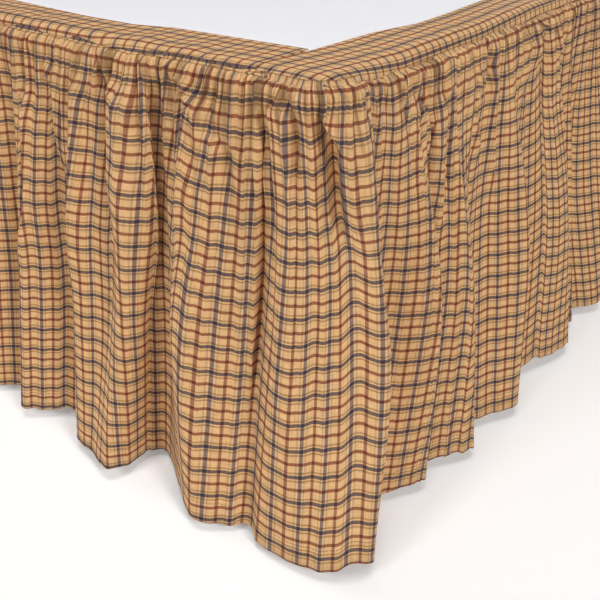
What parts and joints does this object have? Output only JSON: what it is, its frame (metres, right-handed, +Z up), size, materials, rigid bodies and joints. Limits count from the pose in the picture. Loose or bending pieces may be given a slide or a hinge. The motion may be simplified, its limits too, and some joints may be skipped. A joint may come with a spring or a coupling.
{
  "type": "bed skirt on a box spring",
  "caption": "Gathered checked bed skirt with a flat deck and border band, hanging round the sides and foot of a plain box spring on legs, open at the head.",
  "frame": {"origin": "on the floor, under the middle of the whole object's outline", "axes": "+Z up, +Y towards the head of the bed, +X towards the side on the right of the picture"},
  "size_m": [1.7156, 2.124, 0.4138],
  "materials": {
    "plaid_skirt": "matte",
    "plaid_band": "matte",
    "white_deck": "matte",
    "box_cover": "matte",
    "leg_black": "matte"
  },
  "bodies": {
    "root": {"band_foot": "plaid_band", "band_left": "plaid_band", "band_right": "plaid_band", "box_spring": "box_cover", "deck": "white_deck", "leg_1": "leg_black", "leg_2": "leg_black", "leg_3": "leg_black", "leg_4": "leg_black", "leg_5": "leg_black", "leg_6": "leg_black", "skirt_foot": "plaid_skirt", "skirt_left": "plaid_skirt", "skirt_right": "plaid_skirt"}
  },
  "joints": []
}
